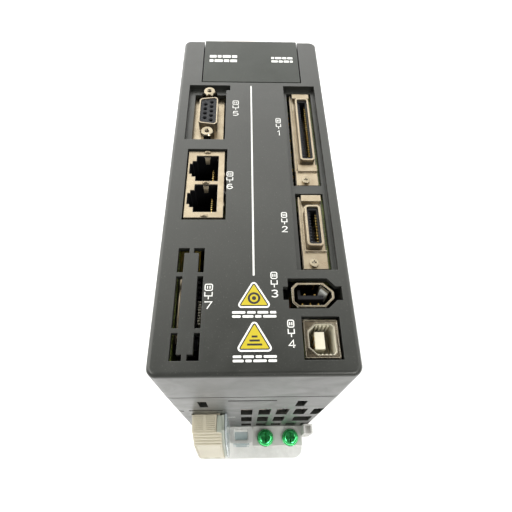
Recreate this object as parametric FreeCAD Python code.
import FreeCAD, Part
import os
from math import cos, sin, pi, radians

# Servo drive lying on its back plate. +Z points out of the front face, +Y to the top end, and +X to the right
# of someone facing the front. The origin is on the mounting surface, in the middle of the back plate.
# All sizes are in millimetres.

V = FreeCAD.Vector

# ---- driving sizes: the case ----
body_width = 65.0
body_height = 162.6
depth = 162.0               # back mounting surface to the front face
cover_depth = 32.0          # how much of the depth is the front cover
metal_depth = 42.7          # how much of the depth is the metal rear part
draft = 0.15                # the cover narrows by this much per side towards the front
case_corner = 3.2           # outline radius of the case
inner_corner = 1.4          # the same, inside its walls
front_round = 1.5           # rounding of the front face's edge
cover_wall = 2.2
housing_wall = 2.0
split_gap = 0.8             # shadow gap between the cover and the housing
lip_wall = 1.3              # the housing's inner lip, which bridges that gap
lip_reach = 3.6
lip_clearance = 0.2

# ---- driving sizes: the back plate and the heat sink ----
plate_thickness = 2.0
plate_reach = 13.1          # how far the plate stands past each end of the case
plate_corner = 5.0
mount_hole_radius = 2.75
mount_hole_x = -26.5
mount_spacing = 177.0
sink_base = 6.5
sink_corner = 1.6
sink_side = 0.5             # the sink stands in from the case's sides by this much
fin_thickness = 1.6
fin_pitch = 5.2
end_wall = 2.4              # the outermost fins

# ---- driving sizes: fits and clearances ----
plug_clearance = 0.3        # between a pluggable connector and what it slides in
key_clearance = 0.3         # round a key
panel_gap = 0.5             # shadow gap round the operation panel
fan_clearance = 0.3
shaft_clearance = 0.04      # radial, for the fan's shaft
touch = 0.01                # parts laid against each other overlap by this before they are fused

# ---- the front face's openings: left, right, bottom, top ----
recess_depth = 2.4
recess_floor = 2.0
recess_wall = 1.6
bus_recess = (-27.7, -11.1, 13.8, 47.5)
bus_recess_ear = (-27.7, -9.4, 44.2, 47.5)
bus_opening = (-25.1, -11.3, 15.2, 43.7)
plug_recess = (14.6, 28.7, -46.4, 47.4)
io_opening = (16.1, 27.1, -8.5, 45.3)
encoder_opening = (16.4, 27.1, -45.4, -12.4)
jack_opening = (-25.8, -9.9, -26.0, 8.4)
usb_opening = (14.85, 27.0, -76.5, -62.9)
option_slot = (-25.7, -16.7, -76.5, -37.9)
option_plate = (-23.6, -18.7, -74.6, -39.8)
option_tab = 1.5

# ---- connectors ----
bus_centre = (-18.7, 31.4)
bus_screw_spacing = 25.0
bus_pitch = 2.8
bus_hole_radius = 0.7
nut_relief = 3.4            # radius of the room round each lock screw in the recess's floor
jack_box = (-25.4, -11.0, -24.4, 8.05)
jack_pitch = 14.6
jack_half = 6.4             # half the width of one jack's mouth
jack_depth = 21.0
io_centre = (22.4, 21.2)
io_ways = 25
encoder_centre = (22.1, -28.0)
encoder_ways = 10
contact_pitch = 1.27
usb_box = (15.4, 26.3, -75.9, -63.8)
flange_drop = 4.0           # connector flanges lie this far behind the front face
bus_flange_drop = 5.0

# ---- operation panel on the top edge ----
panel_left = -22.1
panel_right = 22.65
panel_bottom = 50.1
panel_wall = 2.2
panel_rise = 1.0            # the panel stands above the case's end by this much
panel_back = 28.5
key_count = 5
key_pitch = 6.4
key_radius = 2.2
key_travel = 0.8
key_plate_x = -4.0
key_plate_half = 17.0
key_plate_depth = 6.0
key_plate_edge = 0.8        # from the front face to the plate's rim
key_plate_rise = 1.9

# ---- pluggable power connectors on the two ends ----
plug_left = -26.0
plug_right = -13.2
plug_latch = 1.2
plug_front = 91.2           # distance of the plug's front side from the back surface
plug_rear = 40.0
plug_reach = 15.0           # how far it stands out of the end
plug_nose = 9.0
plug_pins = 4
pin_radius = 1.0

# ---- boards and what stands on them ----
board_thickness = 1.6
control_board_x = 26.2
comm_board_x = -27.3
power_board_z = 52.0
power_board_half = (29.0, 63.0)

# ---- cooling fan ----
fan_size = 40.0
fan_depth = 10.0
fan_rim = 1.0               # what is left of the frame beside its hole
fan_screw_inset = 4.0
fan_hub_radius = 9.0
fan_blades = 7

# ---- vents in the two ends: column centres, width, and front-to-back rows ----
vent_first = -2.15
vent_pitch = 7.75
vent_width = 5.1
vent_columns = 5
vent_rows = ((86.7, 102.3), (64.6, 79.5), (47.6, 55.6))
side_vents = 22
side_vent_pitch = 5.6
side_vent_width = 2.6
side_vent_rows = ((60.0, 78.0), (86.0, 104.0))

half_width = body_width / 2
half_height = body_height / 2
front = depth
split = depth - cover_depth
face_half_height = half_height - draft
fan_hole_radius = fan_size / 2 - fan_rim
fan_screw_pitch = fan_size - 2 * fan_screw_inset
panel_top = face_half_height + panel_rise


# ---- shared shapes ----

def block(x0, x1, y0, y1, z0, z1):
    return Part.makeBox(x1 - x0, y1 - y0, z1 - z0, V(x0, y0, z0))


def area_block(area, z0, z1):
    return block(area[0], area[1], area[2], area[3], z0, z1)


def grown(area, by):
    return (area[0] - by, area[1] + by, area[2] - by, area[3] + by)


def rod(x, y, z, radius, length, direction=V(0, 0, 1)):
    return Part.makeCylinder(radius, length, V(x, y, z), direction)


def prism(points, z0, z1):
    """A solid of the given outline in X and Y, from z0 to z1."""
    outline = Part.makePolygon([V(x, y, z0) for x, y in points + points[:1]])
    return Part.Face(outline).extrude(V(0, 0, z1 - z0))


def side_prism(points, x0, x1):
    """A solid of the given outline in Y and Z, from x0 to x1."""
    outline = Part.makePolygon([V(x0, y, z) for y, z in points + points[:1]])
    return Part.Face(outline).extrude(V(x1 - x0, 0, 0))


def round_outline(half_x, half_y, radius, z, middle=(0.0, 0.0)):
    """A closed wire: a rectangle with round corners, parallel to the back surface."""
    mx, my = middle
    corners = [(1, 1, 0), (-1, 1, 90), (-1, -1, 180), (1, -1, 270)]
    edges = []
    ends = []
    for sx, sy, start in corners:
        centre = V(mx + sx * (half_x - radius), my + sy * (half_y - radius), z)
        first, mid, last = [centre + V(cos(radians(start + a)) * radius, sin(radians(start + a)) * radius, 0)
                            for a in (0, 45, 90)]
        edges.append(Part.Arc(first, mid, last).toShape())
        ends.append((first, last))
    for i in range(4):
        edges.append(Part.LineSegment(ends[i][1], ends[(i + 1) % 4][0]).toShape())
    return Part.Wire(Part.__sortEdges__(edges))


def round_block(half_x, half_y, radius, z0, z1, middle=(0.0, 0.0)):
    wire = round_outline(half_x, half_y, radius, z0, middle)
    return Part.Face(wire).extrude(V(0, 0, z1 - z0))


def hexagon(x, y, across, z0, z1):
    corner = across / 3 ** 0.5
    return prism([(x + corner * cos(k * pi / 3), y + corner * sin(k * pi / 3)) for k in range(6)], z0, z1)


def fused(shapes):
    whole = shapes[0].fuse(shapes[1:]) if len(shapes) > 1 else shapes[0]
    return whole.removeSplitter()


def cut_all(solid, tools):
    return solid.cut(Part.makeCompound(tools))


def mirrored_end(shape):
    """The same shape at the other end of the case."""
    return shape.mirror(V(0, 0, 0), V(0, 1, 0))


def both_ends(make):
    shapes = make()
    return shapes + [mirrored_end(s) for s in shapes]


def cross_recess(x, y, top, size, deep):
    """A cross-shaped screwdriver recess, cut down from the top of a screw head."""
    wide = size * 0.28
    return block(x - size, x + size, y - wide, y + wide, top - deep, top + 1).fuse(
        block(x - wide, x + wide, y - size, y + size, top - deep, top + 1))


def save(name, shape):
    shape.exportStep("parts/" + name + ".step")


# ---- front cover ----

snap_spans = ((-21.0, -17.6), (17.3, 21.0))
snap_reach = 21.0           # the hooks reach this far behind the split
snap_arm = 1.8
snap_window = (8.8, 21.0)   # window's two edges, measured back from the split


def snap_hooks():
    hooks = []
    inner = half_height - cover_wall
    tip = split - snap_reach + 1.0
    for x0, x1 in snap_spans:
        hooks.append(block(x0, x1, -inner - touch, -inner + snap_arm, tip, split + 12))
        catch = split - snap_window[0]
        barb = [(-inner + 0.3, tip), (-inner - 1.4, catch - 2.0), (-inner - 1.4, catch), (-inner + 0.3, catch)]
        hooks.append(side_prism(barb, x0 + 0.4, x1 - 0.4))
    return hooks


def serial_opening():
    """Outline of the hole round the two-row serial socket, with a finger slot at each side."""
    return [(11.2, -60.2), (24.0, -60.2), (27.0, -57.4), (29.0, -57.4), (29.0, -52.5), (27.0, -52.5),
            (24.4, -49.6), (11.2, -49.6), (11.2, -52.6), (9.5, -52.6), (9.5, -57.2), (11.2, -57.2)]


def option_cut():
    """The ring of slots round the knock-out plate, broken by six thin tabs."""
    ring = area_block(option_slot, front - cover_wall - 1, front + 1)
    ring = ring.cut(area_block(option_plate, front - cover_wall - 2, front + 2))
    left, right, bottom, top = option_slot
    middle_x = (left + right) / 2
    length = top - bottom
    half = option_tab / 2
    tabs = []
    for y in (bottom + length * 0.24, bottom + length * 0.74):
        tabs.append(block(left - 1, right + 1, y - half, y + half, front - cover_wall - 2, front + 2))
    tabs.append(block(middle_x - half, middle_x + half, bottom - 1, top + 1, front - cover_wall - 2, front + 2))
    return cut_all(ring, tabs)


def front_cover():
    """A five-sided shell with sunken areas for the connectors and snap hooks at its ends."""
    rear = split + split_gap / 2
    outer = Part.makeLoft([round_outline(half_width, half_height, case_corner, rear),
                           round_outline(half_width - draft, face_half_height, case_corner, front)], True)
    rim = [e for e in outer.Edges if all(abs(v.Z - front) < 0.001 for v in e.Vertexes)]
    outer = outer.makeFillet(front_round, rim)
    cavity = round_block(half_width - cover_wall, half_height - cover_wall, inner_corner,
                         rear - 1, front - cover_wall)
    shell = outer.cut(cavity)
    under = front - recess_depth - recess_floor
    pads = [area_block(grown(bus_recess, recess_wall), under, front - cover_wall + touch),
            area_block(grown(bus_recess_ear, recess_wall), under, front - cover_wall + touch),
            area_block(grown(plug_recess, recess_wall), under, front - cover_wall + touch)]
    shell = fused([shell] + pads + both_ends(snap_hooks))
    floor = front - recess_depth
    cuts = [area_block(bus_recess, floor, front + 1),
            area_block(bus_recess_ear, floor, front + 1),
            area_block(plug_recess, floor, front + 1),
            option_cut()]
    for opening in (bus_opening, io_opening, encoder_opening, jack_opening, usb_opening):
        cuts.append(area_block(opening, under - 1, front + 1))
    cuts.append(prism(serial_opening(), front - cover_wall - 1, front + 1))
    cuts += [rod(x, y, under - 1, nut_relief, recess_floor + 2) for x, y in bus_screws_at()]
    cuts.append(block(panel_left - panel_gap, panel_right + panel_gap, panel_bottom - panel_gap, half_height + 5,
                      front - panel_back - panel_gap, front + 1))
    return cut_all(shell, cuts)


# ---- rear housing ----

groove_half = 9.2           # the grip groove across each end wall
groove_deep = 1.0


def end_cuts():
    """What is cut through the bottom end wall, and through the top one as its mirror image."""
    low = -half_height - 1
    high = -half_height + housing_wall + 1
    cuts = []
    for row, (z0, z1) in enumerate(vent_rows):
        spans = [(vent_first + i * vent_pitch - vent_width / 2, vent_first + i * vent_pitch + vent_width / 2)
                 for i in range(vent_columns)]
        if row == 1:        # the last two of the middle row are one wide slot
            spans = spans[:3] + [(spans[3][0] + 1.7, spans[4][0] + 2.3)]
        for x0, x1 in spans:
            cuts.append(block(x0, x1, low, high, z0, z1))
    for x0, x1 in snap_spans:
        cuts.append(block(x0, x1, low, high, split - snap_window[1], split - snap_window[0]))
    groove_floor = -half_height + groove_deep
    cuts.append(block(-groove_half, groove_half, low, groove_floor, split - 8.2, split - 6.6))
    cuts.append(block(plug_left - 0.4, plug_right + plug_latch + 0.2, low, high, plug_rear + 4.5, plug_front + 0.6))
    cuts.append(block(plug_left - 0.4, plug_right + 1.0, low, groove_floor, plug_front + 8.6, plug_front + 10.2))
    cuts.append(block(-half_width - 1, plug_left - 2.6, low, groove_floor, plug_front + 7.6, plug_front + 9.2))
    return cuts


def side_cuts():
    cuts = []
    first = -side_vent_pitch * (side_vents - 1) / 2
    for i in range(side_vents):
        y = first + i * side_vent_pitch
        for z0, z1 in side_vent_rows:
            cuts.append(block(-half_width - 1, half_width + 1, y - side_vent_width / 2, y + side_vent_width / 2,
                              z0, z1))
    return cuts


def lip_notches():
    """Room in the lip for the cover's snap hooks."""
    inner = half_height - cover_wall
    return [block(x0 - 0.4, x1 + 0.4, -inner - 3, -inner + snap_arm + 0.4, split - 8, split + lip_reach + 2)
            for x0, x1 in snap_spans]


boss_rows = (-56.0, 46.0)
boss_z = 112.0
boss_radius = 2.5


def board_bosses():
    """Short posts on the side walls that the two upright boards rest against."""
    posts = []
    reach = half_width - housing_wall + touch
    far_side = control_board_x + board_thickness
    for y in boss_rows:
        posts.append(rod(far_side, y, boss_z, boss_radius, reach - far_side, V(1, 0, 0)))
        posts.append(rod(-reach, y, boss_z, boss_radius, reach + comm_board_x, V(1, 0, 0)))
    return posts


def rear_housing():
    """An open sleeve with vents, and a lip that the front cover slides over."""
    top = split - split_gap / 2
    shell = round_block(half_width, half_height, case_corner, metal_depth, top)
    inner_x = half_width - housing_wall
    inner_y = half_height - housing_wall
    shell = shell.cut(round_block(inner_x, inner_y, inner_corner, metal_depth - 1, top + 1))
    lip_x = half_width - cover_wall - lip_clearance
    lip_y = half_height - cover_wall - lip_clearance
    lip = round_block(inner_x + touch, inner_y + touch, inner_corner, top - 4, top)
    lip = lip.fuse(round_block(lip_x, lip_y, 1.6, top - 1, top + lip_reach))
    lip = lip.cut(round_block(lip_x - lip_wall, lip_y - lip_wall, 1.0, top - 5, top + lip_reach + 1))
    lip = cut_all(lip, both_ends(lip_notches))
    shell = fused([shell, lip] + board_bosses())
    return cut_all(shell, both_ends(end_cuts) + side_cuts())


# ---- operation panel, display and keys ----

def key_places():
    first = key_plate_x - key_pitch * (key_count - 1) / 2
    return [first + i * key_pitch for i in range(key_count)]


key_z = front - key_plate_edge - key_plate_depth
shelf = panel_top - 0.9     # what the key plate lies on
window_area = (-15.0, 16.0)
window_z = (front - 26.5, front - 15.0)
lamp_x = 18.2


def key_ellipse(grow, y0, y1):
    """The oval of the key plate, as a solid along Y."""
    curve = Part.Ellipse(V(key_plate_x, y0, key_z), key_plate_half + grow, key_plate_depth + grow)
    wire = Part.Wire(curve.toShape())
    wire.rotate(V(key_plate_x, y0, key_z), V(1, 0, 0), 90)
    return Part.Face(wire).extrude(V(0, y1 - y0, 0))


def key_holes(radius, y0, y1):
    return [rod(x, y0, key_z, radius, y1 - y0, V(0, 1, 0)) for x in key_places()]


def operation_panel():
    profile = [(panel_bottom, front), (panel_top, front), (panel_top, front - panel_back),
               (panel_top - panel_wall, front - panel_back), (panel_top - panel_wall, front - panel_wall),
               (panel_bottom, front - panel_wall)]
    panel = side_prism(profile, panel_left, panel_right)
    bend = [e for e in panel.Edges
            if all(abs(v.Y - panel_top) < 0.001 for v in e.Vertexes)
            and any(abs(v.Z - front) < 0.001 for v in e.Vertexes)]
    panel = panel.makeFillet(1.9, bend)
    tongue = panel_wall - 0.1
    lips = [block(x0, x1, panel_bottom + 1, half_height - cover_wall - 0.3, front - panel_wall - tongue,
                  front - panel_wall - 0.1)
            for x0, x1 in ((panel_left - 2.4, panel_left + 2.0), (panel_right - 2.0, panel_right + 2.4))]
    ribs = [block(x0, x1, panel_bottom + 1, half_height - cover_wall - 0.3, front - panel_wall - tongue,
                  front - panel_wall + touch)
            for x0, x1 in ((panel_left + 0.1, panel_left + 2.0), (panel_right - 2.0, panel_right - 0.1))]
    panel = fused([panel] + lips + ribs)
    notch = [(key_plate_x - 10.8, panel_top + 1), (key_plate_x - 9.2, shelf), (key_plate_x + 9.2, shelf),
             (key_plate_x + 10.8, panel_top + 1)]
    cuts = [prism(notch, key_z, front + 1), key_ellipse(0.15, shelf, panel_top + 1)]
    cuts += key_holes(key_radius + key_clearance, panel_top - panel_wall - 1, shelf + 1)
    cuts.append(block(window_area[0] - 0.1, window_area[1] + 0.1, panel_top - panel_wall - 1, panel_top + 1,
                      window_z[0] - 0.1, window_z[1] + 0.1))
    cuts.append(rod(lamp_x, panel_top - panel_wall - 1, key_z, 1.4, 5, V(0, 1, 0)))
    return cut_all(panel, cuts)


def key_plate():
    plate = key_ellipse(0.0, shelf, panel_top + key_plate_rise)
    rim = [e for e in plate.Edges if all(abs(v.Y - panel_top - key_plate_rise) < 0.001 for v in e.Vertexes)
           and e.BoundBox.YLength < 0.001]
    plate = plate.makeFillet(0.9, rim)
    return cut_all(plate, key_holes(key_radius + key_clearance, shelf - 1, panel_top + key_plate_rise + 1))


board_y = 70.0              # the display board's inner face
switch_top = board_y + board_thickness + 3.4


def panel_key(x):
    """A round key: cap, retaining collar and the stem that works its switch."""
    top = panel_top + key_plate_rise + 1.1
    collar_top = panel_top - panel_wall - key_clearance
    cap = rod(x, collar_top - touch, key_z, key_radius, top - collar_top, V(0, 1, 0))
    rim = [e for e in cap.Edges if e.BoundBox.YMin > top - 0.1]
    cap = cap.makeFillet(0.5, rim)
    collar = rod(x, collar_top - 1.4, key_z, 2.8, 1.4, V(0, 1, 0))
    stem_end = switch_top + key_travel + key_clearance
    stem = rod(x, stem_end, key_z, 1.0, collar_top - 1.4 - stem_end + touch, V(0, 1, 0))
    return fused([cap, collar, stem])


def key_switches():
    switches = []
    for x in key_places():
        body = block(x - 2.8, x + 2.8, board_y + board_thickness, switch_top - 0.8, key_z - 2.8, key_z + 2.8)
        switches.append(body.fuse(rod(x, switch_top - 1.0, key_z, 1.4, 1.0, V(0, 1, 0))))
    return Part.makeCompound(switches)


def display_window():
    return block(window_area[0], window_area[1], panel_top - panel_wall + 0.1, panel_top, window_z[0], window_z[1])


def led_display():
    """The digit module: a block that stands on its board and reaches up to the window."""
    return block(window_area[0] + 1.5, window_area[1] - 1.5, board_y + board_thickness,
                 panel_top - panel_wall + 0.1, window_z[0] + 1, window_z[1] - 1)


def charge_lamp():
    return rod(lamp_x, board_y + board_thickness, key_z, 1.3, panel_top + 0.2 - board_y - board_thickness,
               V(0, 1, 0))


def display_board():
    return block(panel_left + 0.8, panel_right - 1.2, board_y, board_y + board_thickness, front - panel_back + 1,
                 front - panel_wall * 2 - 0.2)


# ---- field bus connector, nine holes in two rows ----

def bus_outline(grow):
    """D-shaped outline of the shell; the longer side faces +X."""
    x, y = bus_centre
    half_long = 8.2 + grow
    half_short = 3.5 + grow
    slant = 1.2
    return [(x - half_short, y - half_long + slant), (x + half_short, y - half_long),
            (x + half_short, y + half_long), (x - half_short, y + half_long - slant)]


def soft_prism(points, z0, z1, radius):
    solid = prism(points, z0, z1)
    upright = [e for e in solid.Edges if e.BoundBox.ZLength > (z1 - z0) * 0.9]
    return solid.makeFillet(radius, upright)


bus_flange_z = front - bus_flange_drop


def bus_screws_at():
    x, y = bus_centre
    return [(x, y - bus_screw_spacing / 2), (x, y + bus_screw_spacing / 2)]


def field_bus_shell():
    x, y = bus_centre
    plate = block(x - 6.6, x + 6.6, y - 15.4, y + 15.4, bus_flange_z - 1, bus_flange_z)
    can = soft_prism(bus_outline(0.5), bus_flange_z - touch, front - 0.2, 1.6)
    shell = fused([plate, can])
    cuts = [soft_prism(bus_outline(0.0), bus_flange_z - 3, front + 1, 1.1)]
    cuts += [rod(sx, sy, bus_flange_z - 2, 1.6, 4) for sx, sy in bus_screws_at()]
    return cut_all(shell, cuts)


def field_bus_insulator():
    x, y = bus_centre
    block_back = block(x - 5.6, x + 5.6, y - 9.4, y + 9.4, bus_flange_z - 9, bus_flange_z - 1)
    face = soft_prism(bus_outline(0.0), bus_flange_z - 1 - touch, front - 0.6, 1.1)
    body = fused([block_back, face])
    holes = []
    for count, dx in ((5, 1.3), (4, -1.4)):
        for i in range(count):
            hy = y + (i - (count - 1) / 2) * bus_pitch
            holes.append(rod(x + dx, hy, front - 7.0, bus_hole_radius, 8))
            holes.append(Part.makeCone(bus_hole_radius, bus_hole_radius + 0.3, 0.4, V(x + dx, hy, front - 1.0)))
    return cut_all(body, holes)


def field_bus_jackscrews():
    screws = []
    for x, y in bus_screws_at():
        nut = hexagon(x, y, 5.0, bus_flange_z, front - 0.1)
        crown = Part.makeCone(3.4, 2.3, 1.3, V(x, y, front - 1.4))
        collar = hexagon(x, y, 5.0, bus_flange_z, front - 1.4)
        nut = fused([collar, nut.common(crown)])
        nut = nut.fuse(rod(x, y, bus_flange_z - 6, 1.5, 6 + touch))
        screws.append(nut.cut(rod(x, y, front - 5, 1.1, 6)))
    return Part.makeCompound(screws)


# ---- two network jacks side by side ----

jack_front = front - 1.0
jack_wall = 0.5


def jack_middles():
    middle = (jack_box[2] + jack_box[3]) / 2
    return (middle - jack_pitch / 2, middle + jack_pitch / 2)


def port_outline(y, grow):
    """One jack's mouth: wide for the plug, with two steps for its latch towards -X."""
    side = jack_half + grow
    return [(-13.4 + grow, y - side), (-13.4 + grow, y + side), (-22.1 - grow, y + side),
            (-22.1 - grow, y + 3.6 + grow), (-23.6 - grow, y + 3.6 + grow), (-23.6 - grow, y + 2.2 + grow),
            (-24.7 - grow * 0.4, y + 2.2 + grow), (-24.7 - grow * 0.4, y - 2.8 - grow),
            (-23.6 - grow, y - 2.8 - grow), (-23.6 - grow, y - 4.2 - grow), (-22.1 - grow, y - 4.2 - grow),
            (-22.1 - grow, y - side)]


def network_jack_shield():
    can = area_block(jack_box, jack_front - jack_depth, jack_front)
    inside = area_block(grown(jack_box, -jack_wall), jack_front - jack_depth - 1, jack_front - jack_wall)
    mouths = [prism(port_outline(y, 0.1), jack_front - 2, jack_front + 1) for y in jack_middles()]
    return cut_all(can, [inside] + mouths)


def network_jack_body():
    inside = grown(jack_box, -jack_wall)
    body = area_block(inside, jack_front - jack_depth, jack_front - jack_wall)
    return cut_all(body, [prism(port_outline(y, 0.0), jack_front - 15, jack_front + 1) for y in jack_middles()])


def network_jack_contacts():
    wires = []
    for y in jack_middles():
        for i in range(8):
            wy = y + (i - 3.5) * 1.02
            wire = [(-13.4, jack_front - 14.9), (-13.4, jack_front - 13.9), (-15.6, jack_front - 5.4),
                    (-16.1, jack_front - 5.6), (-14.0, jack_front - 14.9)]
            outline = Part.makePolygon([V(x, wy - 0.2, z) for x, z in wire + wire[:1]])
            wires.append(Part.Face(outline).extrude(V(0, 0.4, 0)))
    return Part.makeCompound(wires)


# ---- half-pitch signal connectors ----

flange_z = front - flange_drop


shell_half = 2.9            # half the width of a signal connector's shell
shell_wall = 0.7
row_offset = 1.5            # from the connector's middle to the wall that carries a contact row
flange_left = 17.4
slot_depth = 7.0
contact_thickness = 0.4


def ribbon_half(ways):
    """Half the length of the shell round one contact row of the given count."""
    return contact_pitch * (ways - 1) / 2 + 3.0


def ribbon_shell(centre, ways, top_edge, bottom_edge):
    x, y = centre
    half = ribbon_half(ways)
    rim = front - 0.1
    flange_right = control_board_x - 0.1
    plate = block(flange_left, flange_right, bottom_edge, top_edge, flange_z - 1, flange_z)
    can = round_block(shell_half, half, 1.3, flange_z - touch, rim, centre)
    pieces = [plate, can]
    for x0 in (flange_left + 0.1, flange_left + 1.1):     # stiffening beads along the flange's outer edge
        pieces.append(block(x0, x0 + 0.5, bottom_edge + 0.4, top_edge - 0.4, flange_z - touch, flange_z + 0.6))
    bracket = block(flange_left + 1.2, flange_right, top_edge - 3.4, top_edge - 0.6, flange_z - touch, flange_z + 2.0)
    lower = block(flange_left + 0.2, flange_right, bottom_edge + 0.3, bottom_edge + 7.6, flange_z - touch,
                  flange_z + 1.2)
    lower = lower.fuse(block(flange_left + 1.0, flange_right, bottom_edge + 7.0, y - half - 0.9,
                             flange_z - touch, flange_z + 2.0))
    shell = fused(pieces + [bracket, lower])
    inside = round_block(shell_half - shell_wall, half - shell_wall, 0.8, flange_z - 3, rim + 1, centre)
    screw = ribbon_screw_place(bottom_edge)
    return cut_all(shell, [inside, rod(screw[0], screw[1], flange_z - 2, 1.0, 5)])


def ribbon_screw_place(bottom_edge):
    return (21.2, bottom_edge + 2.4)


def ribbon_insulator(centre, ways, top_edge, bottom_edge):
    x, y = centre
    half = ribbon_half(ways)
    back = block(flange_left + 0.2, control_board_x - 0.1, y - half - 2, y + half + 2, flange_z - 12, flange_z - 1)
    face = round_block(shell_half - shell_wall, half - shell_wall, 0.8, flange_z - 1 - touch, front - 0.9, centre)
    slot = block(x - row_offset, x + row_offset, y - half + 1.9, y + half - 1.9, front - slot_depth, front + 1)
    return fused([back, face]).cut(slot)


def ribbon_contacts(centre, ways):
    x, y = centre
    strips = []
    for i in range(ways):
        cy = y + (i - (ways - 1) / 2) * contact_pitch
        for x0 in (x - row_offset, x + row_offset - contact_thickness):
            strips.append(block(x0, x0 + contact_thickness, cy - 0.25, cy + 0.25, front - slot_depth, front - 2.6))
    return Part.makeCompound(strips)


io_ends = (io_opening[3] - 0.3, io_opening[2] + 0.3)
encoder_ends = (encoder_opening[3] - 0.3, encoder_opening[2] + 0.4)


def connector_bracket_screws():
    screws = []
    for ends in (io_ends, encoder_ends):
        x, y = ribbon_screw_place(ends[1])
        seat = flange_z + 1.2
        head = rod(x, y, seat, 1.6, 1.0)
        screw = fused([head, rod(x, y, seat - 5, 0.98, 5 + touch)])
        screws.append(screw.cut(cross_recess(x, y, seat + 1.0, 0.8, 0.5)))
    return Part.makeCompound(screws)


# ---- serial port with a pointed shell ----

serial_rim = front - 0.5
serial_depth = 14.0


def serial_outline(inset):
    points = [(14.1, -59.6), (23.1, -59.6), (26.3, -56.4), (26.3, -54.2), (23.1, -51.0), (14.1, -51.0),
              (12.4, -52.7), (12.4, -57.9)]
    middle = (19.3, -55.3)
    if inset == 0:
        return points
    moved = []
    for x, y in points:
        dx = middle[0] - x
        dy = middle[1] - y
        scale_x = 1 - inset / 6.9
        scale_y = 1 - inset / 4.3
        moved.append((middle[0] - dx * scale_x, middle[1] - dy * scale_y))
    return moved


def comm_port_shell():
    can = prism(serial_outline(0), serial_rim - serial_depth, serial_rim)
    return can.cut(prism(serial_outline(0.7), serial_rim - serial_depth - 1, serial_rim + 1))


def comm_port_insulator():
    """Base, a lining along the lower side, and the tongue that carries the contacts."""
    back = serial_rim - serial_depth
    base = prism(serial_outline(0.7), back, back + 4)
    tongue = block(14.6, 23.2, -56.0, -54.7, back + 4 - touch, serial_rim - 2.0)
    rail = block(14.6, 15.6, -56.0, -52.4, back + 4 - touch, serial_rim - 2.6)
    return fused([base, tongue, rail])


# ---- square serial port (type B) ----

usb_front = front - 1.0
usb_depth = 16.0
usb_wall = 0.45


def usb_mouth(inset):
    """The keyed opening, with its two bevels towards -X."""
    x0, x1 = usb_box[0] + 1.35 + inset, usb_box[1] - 1.05 - inset
    y0, y1 = usb_box[2] + 1.05 + inset, usb_box[3] - 1.0 - inset
    return [(x0 + 2.4, y0), (x1 - 0.9, y0), (x1, y0 + 0.9), (x1, y1 - 0.9), (x1 - 0.9, y1), (x0 + 2.4, y1),
            (x0, y1 - 2.4), (x0, y0 + 2.4)]


def usb_shell():
    can = area_block(usb_box, usb_front - usb_depth, usb_front)
    inside = area_block(grown(usb_box, -usb_wall), usb_front - usb_depth - 1, usb_front - usb_wall)
    return cut_all(can, [inside, prism(usb_mouth(0.0), usb_front - 2, usb_front + 1)])


def usb_insulator():
    """A lined well with the contact tongue standing in it."""
    body = area_block(grown(usb_box, -usb_wall), usb_front - usb_depth, usb_front - usb_wall)
    well = prism(usb_mouth(0.25), usb_front - usb_depth + 5, usb_front + 1)
    x = (usb_box[0] + usb_box[1]) / 2 - 0.35
    y = (usb_box[2] + usb_box[3]) / 2
    tongue = block(x - 1.55, x + 1.55, y - 2.75, y + 2.75, usb_front - usb_depth + 4, usb_front - 1.6)
    return fused([body.cut(well), tongue])


# ---- option connector behind the knock-out plate ----

def option_connector():
    left, right, bottom, top = option_plate
    body = block(comm_board_x + board_thickness, right + 0.9, bottom + 3, top - 4, front - 20, front - 7)
    slot = block(left + 1.6, right - 1.4, bottom + 5, top - 6, front - 16, front - 6)
    ribs = []
    for i in range(14):
        y = bottom + 6.5 + i * 1.9
        ribs.append(block(right - 1.4, right + 0.9 + touch, y, y + 0.8, front - 7.5, front - 6))
    return body.cut(slot).cut(Part.makeCompound(ribs))


# ---- boards ----

board_span = (cover_wall + lip_clearance + lip_wall + 0.5 - half_height, 58.0)
board_low = 98.0
board_top = front - recess_depth - recess_floor - 0.3


def control_board():
    board = block(control_board_x, control_board_x + board_thickness, *board_span, board_low, board_top)
    return board.cut(block(control_board_x - 1, control_board_x + 3, board_span[0] - 1, -48.5, front - 18.0, front))


def comm_board():
    return block(comm_board_x, comm_board_x + board_thickness, *board_span, board_low, board_top)


def power_board():
    bx, by = power_board_half
    return block(-bx, bx, -by, by, power_board_z, power_board_z + board_thickness)


standoff_places = [(x, y) for x in (-25.5, 25.5) for y in (-58.0, 58.0)]


def board_standoffs():
    return Part.makeCompound([hexagon(x, y, 5.0, metal_depth, power_board_z) for x, y in standoff_places])


# ---- power parts between the boards and the heat sink ----

module_area = (-4.0, 26.0, -44.0, 8.0)
rectifier_area = (-24.0, -8.0, -30.0, -2.0)
pad_thickness = 0.5
deck = power_board_z + board_thickness
capacitor_x = 13.0
capacitor_radius = 11.0
capacitor_height = 40.0
capacitor_pitch = 26.0
relay_area = (-22.0, -10.0, 30.0, 52.0)
relay_height = 15.5
transformer_area = (-24.0, -2.0, 4.0, 26.0)
core_height = 8.0
transformer_height = 20.0
choke_place = (-13.0, -24.0)
choke_ring = 8.0            # radius of the ring's middle line
choke_thickness = 4.0


def power_module():
    return area_block(module_area, metal_depth + pad_thickness, power_board_z)


def thermal_pad():
    return Part.makeCompound([area_block(module_area, metal_depth, metal_depth + pad_thickness),
                              area_block(rectifier_area, metal_depth, metal_depth + pad_thickness)])


def bridge_rectifier():
    return area_block(rectifier_area, metal_depth + pad_thickness, power_board_z)


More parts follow.
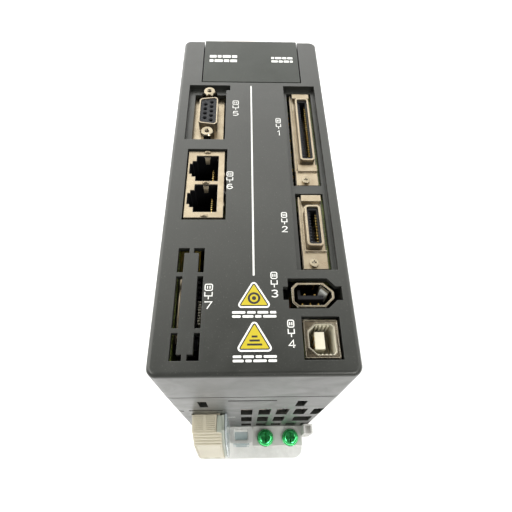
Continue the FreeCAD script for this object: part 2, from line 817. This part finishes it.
def bus_capacitors():
    """Three cans in a row, each with a rolled groove near its foot."""
    cans = []
    for y in (-capacitor_pitch, 0.0, capacitor_pitch):
        can = rod(capacitor_x, y, deck, capacitor_radius, capacitor_height)
        groove = Part.makeTorus(capacitor_radius + 0.6, 1.1, V(capacitor_x, y, deck + 5), V(0, 0, 1))
        cans.append(can.cut(groove))
    return Part.makeCompound(cans)


def relay():
    return area_block(relay_area, deck, deck + relay_height)


def transformer():
    """A flat core with the wound bobbin standing on it."""
    core = area_block(transformer_area, deck, deck + core_height)
    bobbin = (transformer_area[0] + 4, transformer_area[1] - 4, transformer_area[2] + 2, transformer_area[3] - 2)
    return fused([core, area_block(bobbin, deck + core_height - touch, deck + transformer_height)])


def filter_choke():
    return Part.makeTorus(choke_ring, choke_thickness, V(*choke_place, deck + choke_thickness), V(0, 0, 1))


# ---- pluggable power connectors ----

mouth = -half_height        # the bottom end face
plug_start = mouth - plug_clearance
nose_area = (plug_left + 0.8, plug_right - 0.7)
nose_z = (plug_rear + 6.0, plug_front - 1.2)


def plug_profile(shrink):
    """Side view of a plug, outside the case: a steep front, a ribbed slope and a flat end."""
    end = mouth - plug_reach + shrink
    return [(plug_start, plug_front - shrink), (mouth - 6.6 + shrink * 0.4, plug_front - 2.0 - shrink),
            (mouth - 11.6 + shrink, plug_front - 15.0 - shrink * 0.5), (end, plug_rear + 13.0), (end, plug_rear + 1.5),
            (end + 1.5, plug_rear + shrink), (plug_start, plug_rear + shrink)]


def pin_places():
    x = (nose_area[0] + nose_area[1]) / 2
    pitch = (nose_z[1] - nose_z[0] - 8) / (plug_pins - 1)
    return [(x, nose_z[0] + 4 + i * pitch) for i in range(plug_pins)]


def plug_body():
    body = side_prism(plug_profile(0.0), plug_left, plug_right)
    corner = block(plug_right - 2.1, plug_right + 1, mouth - 7.4, plug_start + 1, plug_front - 10, plug_front + 1)
    nose = block(nose_area[0], nose_area[1], plug_start - touch, mouth + plug_nose, nose_z[0], nose_z[1])
    cuts = [corner.cut(nose)]
    for x, z in pin_places():
        cuts.append(rod(x, mouth - 3, z, pin_radius + 0.4, plug_nose + 4, V(0, 1, 0)))
    for dx in (-2.9, 2.9):          # wire entries in the flat end
        for z in (plug_rear + 4.6, plug_rear + 9.9):
            x = (plug_left + plug_right) / 2 + dx
            cuts.append(rod(x, mouth - plug_reach - 1, z, 1.8, 10, V(0, 1, 0)))
    return cut_all(fused([body, nose]), cuts)


def plug_latch_bar():
    """The lever along the plug's right side, with the thumb block at its front end."""
    bar = side_prism(plug_profile(0.8), plug_right, plug_right + plug_latch)
    thumb = block(plug_right - 1.9, plug_right + touch, mouth - 7.2, plug_start - 0.2, plug_front - 9.8,
                  plug_front - 0.8)
    window = block(plug_right - 0.5, plug_right + 3, mouth - 10.2, mouth - 4.0, plug_rear + 8, plug_front - 22)
    return fused([bar, thumb]).cut(window)


def plug_guard():
    """A thin translucent wall on the housing, beside the plug."""
    x0 = plug_right + plug_latch + plug_clearance
    return side_prism([(y if y < plug_start else mouth, z) for y, z in plug_profile(0.3)], x0, x0 + 0.8)


def power_header():
    """The fixed half: a box behind the case's wall, open towards the plug."""
    inner = mouth + housing_wall
    outer = block(nose_area[0] - 2.0, nose_area[1] + 2.0, inner, inner + plug_nose + 3.5, nose_z[0] - 2.0,
                  nose_z[1] + 2.0)
    well = block(nose_area[0] - plug_clearance, nose_area[1] + plug_clearance, inner - 1,
                 mouth + plug_nose + plug_clearance, nose_z[0] - plug_clearance, nose_z[1] + plug_clearance)
    pins = [rod(x, inner, z, pin_radius, plug_nose + 6, V(0, 1, 0)) for x, z in pin_places()]
    return cut_all(outer, [well] + pins)


def power_pins():
    inner = mouth + housing_wall
    return [rod(x, inner + 1.5, z, pin_radius, plug_nose + 4, V(0, 1, 0)) for x, z in pin_places()]


# ---- metal rear part ----

ledge_area = (1.4, 28.0)
ledge_z = metal_depth - 1.7
ledge_drop = 10.4
lug_drop = 4.9              # the guide lug beside the ledge: how far it reaches down, and its front
lug_top = 52.0
ground_places = ((8.2, -half_height - 5.5), (21.6, -half_height - 5.5))
sink_half_x = half_width - sink_side
sink_half_y = half_height - 0.4
plate_screw_places = [(x, y) for x in (-sink_half_x + 4, sink_half_x - 4) for y in (-66.0, 62.0)]
fan_y = (half_height - 12.5, half_height - 2.5)
fan_z = plate_thickness + 0.3 + fan_size / 2


def heat_sink():
    base_low = metal_depth - sink_base
    pieces = [round_block(sink_half_x, sink_half_y, sink_corner, base_low, metal_depth)]
    count = int((2 * sink_half_x - 2 * end_wall) / fin_pitch)
    first = -fin_pitch * (count - 1) / 2
    for i in range(count):
        x = first + i * fin_pitch
        pieces.append(block(x - fin_thickness / 2, x + fin_thickness / 2, -sink_half_y + 2, sink_half_y - 2,
                            plate_thickness, base_low + touch))
    for side in (-1, 1):
        x0, x1 = sorted((side * sink_half_x, side * (sink_half_x - end_wall)))
        pieces.append(block(x0, x1, -sink_half_y + 2.6, sink_half_y - 2.6, plate_thickness, base_low + touch))
    for x, y in plate_screw_places:
        pieces.append(rod(x, y, plate_thickness, 3.6, base_low - plate_thickness + touch))
    low = -sink_half_y
    pieces.append(block(ledge_area[0], ledge_area[1], low - ledge_drop + 0.8, low + 3, ledge_z - 5, ledge_z))
    pieces.append(block(ledge_area[1] - touch, sink_half_x, low - lug_drop, low + 3, ledge_z - 9, ledge_z))
    lug_outer = -half_height - 0.05     # the lug stands clear of the case's end
    pieces.append(block(ledge_area[1] - touch, half_width, low - lug_drop, lug_outer, ledge_z - 9, lug_top))
    sink = fused(pieces)
    cuts = [block(-fan_size / 2 - 0.4, fan_size / 2 + 0.4, fan_y[0] - 3, sink_half_y + 1, plate_thickness - 1,
                  metal_depth + 1)]
    cuts.append(block(ledge_area[1] + 0.8, half_width - 0.8, low - lug_drop - 1, lug_outer - 0.8, lug_top - 3,
                      lug_top + 1))
    cuts += [rod(x, y, ledge_z - 6, 2.0, 8) for x, y in ground_places]
    cuts += [rod(x, y, plate_thickness - 1, 1.5, 13) for x, y in plate_screw_places]
    return cut_all(sink, cuts)


def mounting_plate():
    plate = round_block(half_width, half_height + plate_reach, plate_corner, 0, plate_thickness)
    cuts = [rod(mount_hole_x, side * mount_spacing / 2, -1, mount_hole_radius, plate_thickness + 2)
            for side in (-1, 1)]
    for x, y in plate_screw_places:
        cuts.append(rod(x, y, -1, 1.5, plate_thickness + 2))
        cuts.append(Part.makeCone(2.9, 1.5, 1.5, V(x, y, 0)))
    return cut_all(plate, cuts)


def plate_screws():
    screws = []
    for x, y in plate_screw_places:
        screw = Part.makeCone(2.9, 1.5, 1.5, V(x, y, 0)).fuse(rod(x, y, 1.5 - touch, 1.5, 10))
        recess = block(x - 1.6, x + 1.6, y - 0.4, y + 0.4, -1, 0.8).fuse(
            block(x - 0.4, x + 0.4, y - 1.6, y + 1.6, -1, 0.8))
        screws.append(screw.removeSplitter().cut(recess))
    return Part.makeCompound(screws)


def ground_screws():
    screws = []
    for x, y in ground_places:
        washer = rod(x, y, ledge_z, 4.3, 0.8)
        head = rod(x, y, ledge_z + 0.8 - touch, 4.0, 2.4)
        rim = [e for e in head.Edges if e.BoundBox.ZMin > ledge_z + 3]
        head = head.makeFillet(1.8, rim)
        screw = fused([washer, head, rod(x, y, ledge_z - 8, 1.98, 8 + touch)])
        screws.append(screw.cut(cross_recess(x, y, ledge_z + 3.2, 2.4, 1.9)))
    return Part.makeCompound(screws)


clamp_x = (-10.4, 0.7)
clamp_wall = 1.2


def shield_clamp():
    """A sheet-metal saddle beside the earthing ledge."""
    x0, x1 = clamp_x
    low = -sink_half_y
    top = ledge_z - 0.6
    face = block(x0, x1, low - 8.0, low, top - clamp_wall, top)
    window = block(x0 + 1.6, x1 - 1.6, low - 6.6, low - 1.6, top - clamp_wall - 1, top + 1)
    legs = [block(a, a + clamp_wall, low - 8.0, low, top - 16, top - touch) for a in (x0, x1 - clamp_wall)]
    return fused([face.cut(window)] + legs)


def clamp_insulator():
    x0, x1 = clamp_x
    low = -sink_half_y
    top = ledge_z - 0.6 - clamp_wall
    body = block(x0 + clamp_wall, x1 - clamp_wall, low - 9.0, low - 2.6, top - 15, top)
    hollow = block(x0 + clamp_wall + 1.4, x1 - clamp_wall - 1.4, low - 10, low - 3.8, top - 14, top - 1.4)
    return body.cut(hollow)


# ---- fan ----

def fan_frame():
    s = fan_size / 2
    y0, y1 = fan_y
    frame = block(-s, s, y0, y1, fan_z - s, fan_z + s)
    frame = frame.cut(rod(0, y0 - 1, fan_z, fan_hole_radius, fan_depth + 2, V(0, 1, 0)))
    hub = rod(0, y0, fan_z, fan_hub_radius, 1.6, V(0, 1, 0))
    pieces = [frame, hub, rod(0, y0 + 1.6 - touch, fan_z, 2.2, 4.0, V(0, 1, 0))]
    for k in range(4):
        strut = block(fan_hub_radius - 1, fan_hole_radius + 0.6, y0, y0 + 1.6, fan_z - 1, fan_z + 1)
        strut.rotate(V(0, 0, fan_z), V(0, 1, 0), 45 + 90 * k)
        pieces.append(strut)
    frame = fused(pieces)
    half = fan_screw_pitch / 2
    cuts = [rod(x, y0 - 1, fan_z + z, 1.7, fan_depth + 2, V(0, 1, 0)) for x in (-half, half) for z in (-half, half)]
    cuts.append(rod(0, y0 - 1, fan_z, 1.0 + shaft_clearance, 8, V(0, 1, 0)))
    return cut_all(frame, cuts)


def fan_rotor():
    """Cup-shaped hub on a shaft, with curved blades."""
    y0, y1 = fan_y
    low = y0 + 1.6 + fan_clearance
    high = y1 - 0.4
    cup = rod(0, low, fan_z, fan_hub_radius, high - low, V(0, 1, 0))
    cup = cup.cut(rod(0, low - 1, fan_z, fan_hub_radius - 1.2, high - low - 0.2, V(0, 1, 0)))
    shaft = rod(0, y0 + 0.2, fan_z, 1.0, high - y0 - 0.6, V(0, 1, 0))
    pieces = [cup, shaft]
    for k in range(fan_blades):
        sweep = 22.0
        width = fan_hole_radius - fan_clearance - fan_hub_radius
        blade = block(fan_hub_radius - 0.6, fan_hub_radius + width - 0.3, low + 0.5, high - 0.3, fan_z - 0.5,
                      fan_z + 0.5)
        blade.rotate(V(fan_hub_radius, (low + high) / 2, fan_z), V(1, 0, 0), sweep)
        blade.rotate(V(0, 0, fan_z), V(0, 1, 0), 360.0 * k / fan_blades)
        pieces.append(blade)
    return fused(pieces).common(rod(0, y0, fan_z, fan_hole_radius - fan_clearance, fan_depth - 0.2, V(0, 1, 0)))


def fan_screws():
    half = fan_screw_pitch / 2
    y1 = fan_y[1]
    screws = []
    for x in (-half, half):
        for z in (-half, half):
            screw = rod(x, fan_y[0] - 1.5, fan_z + z, 1.5, fan_depth + 1.5 + touch, V(0, 1, 0))
            screws.append(fused([screw, rod(x, y1, fan_z + z, 2.7, 1.6, V(0, 1, 0))]))
    return Part.makeCompound(screws)


def main():
    os.makedirs("parts", exist_ok=True)
    motor_plug = plug_body()
    motor_latch = plug_latch_bar()
    motor_header = power_header()
    nodes = {
        "front_cover": front_cover(),
        "rear_housing": rear_housing(),
        "operation_panel": operation_panel(),
        "display_window": display_window(),
        "led_display": led_display(),
        "key_plate": key_plate(),
        "key_switches": key_switches(),
        "charge_lamp": charge_lamp(),
        "display_board": display_board(),
        "control_board": control_board(),
        "comm_board": comm_board(),
        "power_board": power_board(),
        "board_standoffs": board_standoffs(),
        "field_bus_shell": field_bus_shell(),
        "field_bus_insulator": field_bus_insulator(),
        "field_bus_jackscrews": field_bus_jackscrews(),
        "network_jack_shield": network_jack_shield(),
        "network_jack_body": network_jack_body(),
        "network_jack_contacts": network_jack_contacts(),
        "io_connector_shell": ribbon_shell(io_centre, io_ways, *io_ends),
        "io_connector_insulator": ribbon_insulator(io_centre, io_ways, *io_ends),
        "io_connector_contacts": ribbon_contacts(io_centre, io_ways),
        "encoder_connector_shell": ribbon_shell(encoder_centre, encoder_ways, *encoder_ends),
        "encoder_connector_insulator": ribbon_insulator(encoder_centre, encoder_ways, *encoder_ends),
        "encoder_connector_contacts": ribbon_contacts(encoder_centre, encoder_ways),
        "connector_bracket_screws": connector_bracket_screws(),
        "comm_port_shell": comm_port_shell(),
        "comm_port_insulator": comm_port_insulator(),
        "usb_shell": usb_shell(),
        "usb_insulator": usb_insulator(),
        "option_connector": option_connector(),
        "motor_header": motor_header,
        "motor_plug": motor_plug,
        "motor_plug_latch": motor_latch,
        "supply_header": mirrored_end(motor_header),
        "supply_plug": mirrored_end(motor_plug),
        "supply_plug_latch": mirrored_end(motor_latch),
        "power_pins": Part.makeCompound(both_ends(power_pins)),
        "plug_guards": Part.makeCompound(both_ends(lambda: [plug_guard()])),
        "heat_sink": heat_sink(),
        "mounting_plate": mounting_plate(),
        "plate_screws": plate_screws(),
        "ground_screws": ground_screws(),
        "shield_clamp": shield_clamp(),
        "clamp_insulator": clamp_insulator(),
        "power_module": power_module(),
        "thermal_pad": thermal_pad(),
        "bridge_rectifier": bridge_rectifier(),
        "bus_capacitors": bus_capacitors(),
        "relay": relay(),
        "transformer": transformer(),
        "filter_choke": filter_choke(),
        "fan_frame": fan_frame(),
        "fan_rotor": fan_rotor(),
        "fan_screws": fan_screws(),
    }
    for name, x in zip(("mode_key", "shift_key", "up_key", "down_key", "set_key"), key_places()):
        nodes[name] = panel_key(x)
    for name, shape in nodes.items():
        save(name, shape)
        box = shape.BoundBox
        print(f"{name:30s} solids {len(shape.Solids):3d} valid {shape.isValid()} volume {shape.Volume / 1000:8.3f} cm3"
              f" y {box.YMin:.1f}..{box.YMax:.1f} z {box.ZMin:.1f}..{box.ZMax:.1f}")
    print(len(nodes), "nodes")


main()
